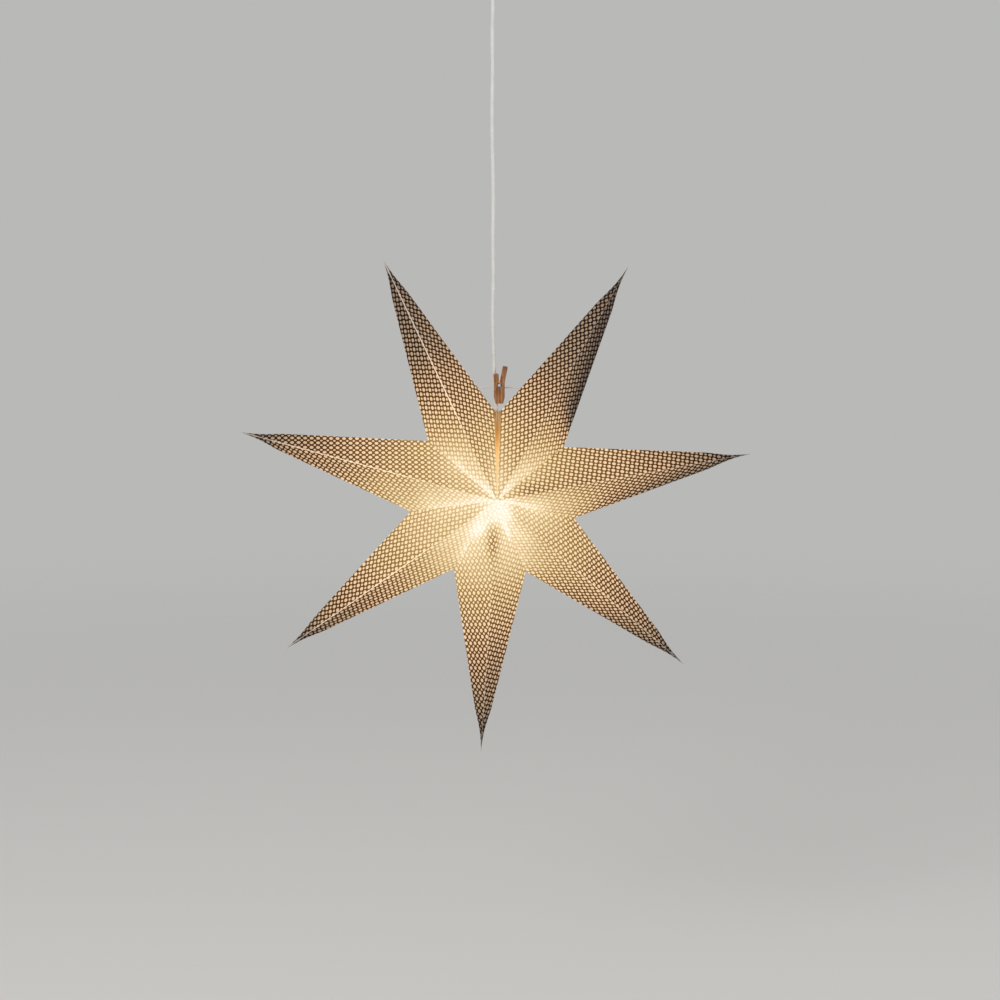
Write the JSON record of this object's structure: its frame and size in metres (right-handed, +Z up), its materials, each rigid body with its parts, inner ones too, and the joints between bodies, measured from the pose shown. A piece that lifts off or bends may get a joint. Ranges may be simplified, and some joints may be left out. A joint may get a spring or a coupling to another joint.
{
  "type": "paper star pendant light",
  "caption": "Folded paper star lantern with a dotted gold-brown print, lit by a bulb inside, hanging on a white cord with a wooden peg from a ceiling rose.",
  "frame": {"origin": "centre of the mounting strap's top face, on the ceiling, on the cord's axis", "axes": "+Z up out of the ceiling face, -Y the star's front, +X right as seen from the front"},
  "size_m": [0.5874, 0.134, 0.9596],
  "materials": {
    "printed_paper": "matt, brown-gold print with bare cream dots",
    "white_plastic": "satin moulded",
    "zinc_steel": "zinc plated",
    "brass": "drawn",
    "core_insulation": "extruded",
    "cord_sheath": "extruded, satin",
    "rubber": "moulded",
    "white_wire": "coated",
    "peg_wood": "amber stained, waxed",
    "holder_plastic": "moulded",
    "porcelain": "fired",
    "nickel": "rolled, nickel plated",
    "bulb_glass": "clear, blown",
    "filament": "phosphor coated, lit"
  },
  "bodies": {
    "ceiling_rose": {"ceiling_cup": "white_plastic", "mounting_strap": "zinc_steel", "side_screws": "zinc_steel", "terminal_block": "white_plastic", "terminal_tubes": "brass", "terminal_screws": "brass", "core_wires": "core_insulation", "cord_tail": "cord_sheath", "grip_nipple": "zinc_steel", "grip_locknut": "zinc_steel", "cord_grip": "white_plastic"},
    "bend_protector": {"bend_protector": "rubber"},
    "cord": {"cord_upper": "cord_sheath"},
    "lantern": {"point_upper_right": "printed_paper", "point_right": "printed_paper", "point_lower_right": "printed_paper", "point_bottom": "printed_paper", "point_lower_left": "printed_paper", "point_left": "printed_paper", "point_upper_left": "printed_paper", "closing_wire": "white_wire", "cord_lower": "cord_sheath", "peg_arm_left": "peg_wood", "peg_spring": "zinc_steel", "holder_cap": "holder_plastic", "holder_body": "holder_plastic", "contact_insert": "porcelain", "thread_shell": "brass", "clamp_screw": "brass", "centre_contact": "brass"},
    "peg_lever": {"peg_arm_right": "peg_wood"},
    "bulb": {"bulb_cap": "nickel", "bulb_stud": "nickel", "bulb_glass": "bulb_glass", "bulb_stem": "bulb_glass", "bulb_filaments": "filament"}
  },
  "joints": [
    {"name": "swing_sideways", "type": "hinge", "parent": "ceiling_rose", "child": "bend_protector", "pos_m": [0, 0, -0.046], "axis": [0, 1, 0], "range_deg": [-20, 20]},
    {"name": "swing_fore_aft", "type": "hinge", "parent": "bend_protector", "child": "cord", "pos_m": [0, 0, -0.082], "axis": [1, 0, 0], "range_deg": [-20, 20]},
    {"name": "star_turn", "type": "hinge", "parent": "cord", "child": "lantern", "pos_m": [0, 0, -0.527], "axis": [0, 0, 1], "range_deg": [-180, 180]},
    {"name": "peg_squeeze", "type": "hinge", "parent": "lantern", "child": "peg_lever", "pos_m": [0.0064, -0.004, -0.534], "axis": [0, -1, 0], "range_deg": [0, 12], "stiffness_Nm_per_rad": 0.05, "springref_deg": -17.19},
    {"name": "bulb_turn", "type": "hinge", "parent": "lantern", "child": "bulb", "pos_m": [0.0034, 0, -0.66], "axis": [0, 0, -1], "range_deg": [0, 360]}
  ]
}
